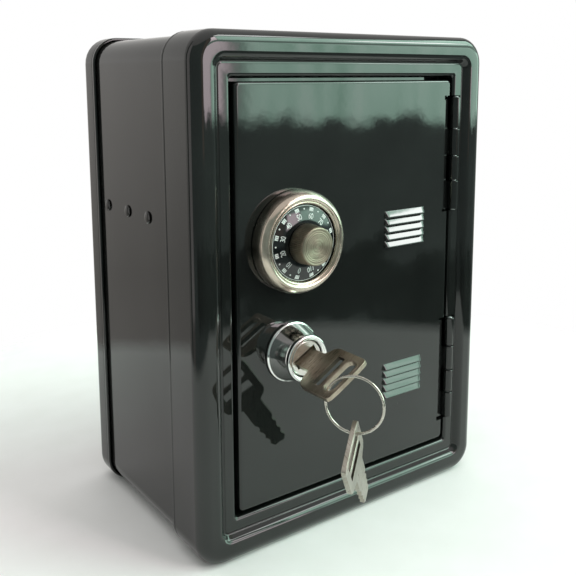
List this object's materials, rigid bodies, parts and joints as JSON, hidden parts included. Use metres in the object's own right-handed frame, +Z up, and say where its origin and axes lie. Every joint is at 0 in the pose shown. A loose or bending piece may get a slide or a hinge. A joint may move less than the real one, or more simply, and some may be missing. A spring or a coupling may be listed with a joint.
{
  "type": "toy safe coin bank",
  "caption": "Pressed-steel toy safe for coins: hinged front door with a combination dial, key lock and louvres, shelf inside, coin slot in the roof near the back, keys on a ring.",
  "frame": {"origin": "bottom centre of the whole object's bounding box with the keys hanging in the lock; the case stands on Z = 0", "axes": "+Z up, door towards -Y, +X to the right of somebody facing the door, where the hinges are"},
  "size_m": [0.132, 0.1286, 0.18],
  "materials": {
    "black_enamel": "high-gloss black stoved enamel",
    "zinc_plated_steel": "bright zinc plate",
    "nickel_plate": "warm nickel plate with fine turning and rolling lines",
    "dial_enamel": "semi-gloss black",
    "chrome_plate": "polished chrome",
    "wafer_brass": "stamped brass"
  },
  "bodies": {
    "case": {"front_frame": "black_enamel", "body_shell": "black_enamel", "back_cover": "black_enamel", "inner_shelf": "black_enamel", "shelf_rivet_left_1": "zinc_plated_steel", "shelf_rivet_left_2": "zinc_plated_steel", "shelf_rivet_left_3": "zinc_plated_steel", "shelf_rivet_right_1": "zinc_plated_steel", "shelf_rivet_right_2": "zinc_plated_steel", "shelf_rivet_right_3": "zinc_plated_steel", "hinge_upper_frame_leaf": "black_enamel", "hinge_upper_pin": "zinc_plated_steel", "hinge_lower_frame_leaf": "black_enamel", "hinge_lower_pin": "zinc_plated_steel"},
    "door": {"door_panel": "black_enamel", "hinge_upper_door_leaf": "black_enamel", "hinge_lower_door_leaf": "black_enamel", "dial_ring": "nickel_plate", "dial_push_nut_left": "zinc_plated_steel", "dial_push_nut_right": "zinc_plated_steel", "dial_spring_washer": "zinc_plated_steel", "lock_housing": "chrome_plate", "lock_nut": "zinc_plated_steel"},
    "dial": {"dial_plate": "dial_enamel", "dial_knob": "nickel_plate", "dial_spindle": "zinc_plated_steel", "dial_retaining_clip": "zinc_plated_steel"},
    "plug": {"lock_plug": "chrome_plate", "lock_wafer_1": "wafer_brass", "lock_wafer_2": "wafer_brass", "lock_wafer_3": "wafer_brass", "lock_wafer_4": "wafer_brass", "lock_cam": "zinc_plated_steel", "lock_cam_washer": "zinc_plated_steel", "lock_cam_screw": "zinc_plated_steel"},
    "main_key": {"main_key": "nickel_plate"},
    "key_ring": {"key_ring": "chrome_plate"},
    "spare_key": {"spare_key": "nickel_plate"}
  },
  "joints": [
    {"name": "door_hinge", "type": "hinge", "parent": "case", "child": "door", "pos_m": [0.0526, -0.02137, 0.091], "axis": [0, 0, 1], "range_deg": [0, 110]},
    {"name": "dial_spin", "type": "hinge", "parent": "door", "child": "dial", "pos_m": [-0.02595, -0.02747, 0.1094], "axis": [0, -1, 0], "continuous": true},
    {"name": "plug_turn", "type": "hinge", "parent": "door", "child": "plug", "pos_m": [-0.0277, -0.02367, 0.07015], "axis": [0, -1, 0], "range_deg": [-90, 0]},
    {"name": "key_slide", "type": "slide", "parent": "plug", "child": "main_key", "axis": [0, -1, 0], "range_m": [0, 0.014]},
    {"name": "ring_swing", "type": "hinge", "parent": "main_key", "child": "key_ring", "pos_m": [-0.02865, -0.05307, 0.0696], "axis": [0.866, 0, 0.5], "range_deg": [-30, 2]},
    {"name": "spare_key_swing", "type": "hinge", "parent": "key_ring", "child": "spare_key", "pos_m": [-0.02792, -0.05603, 0.05283], "axis": [0.5793, -0.8151, 0], "range_deg": [-25, 25]}
  ]
}
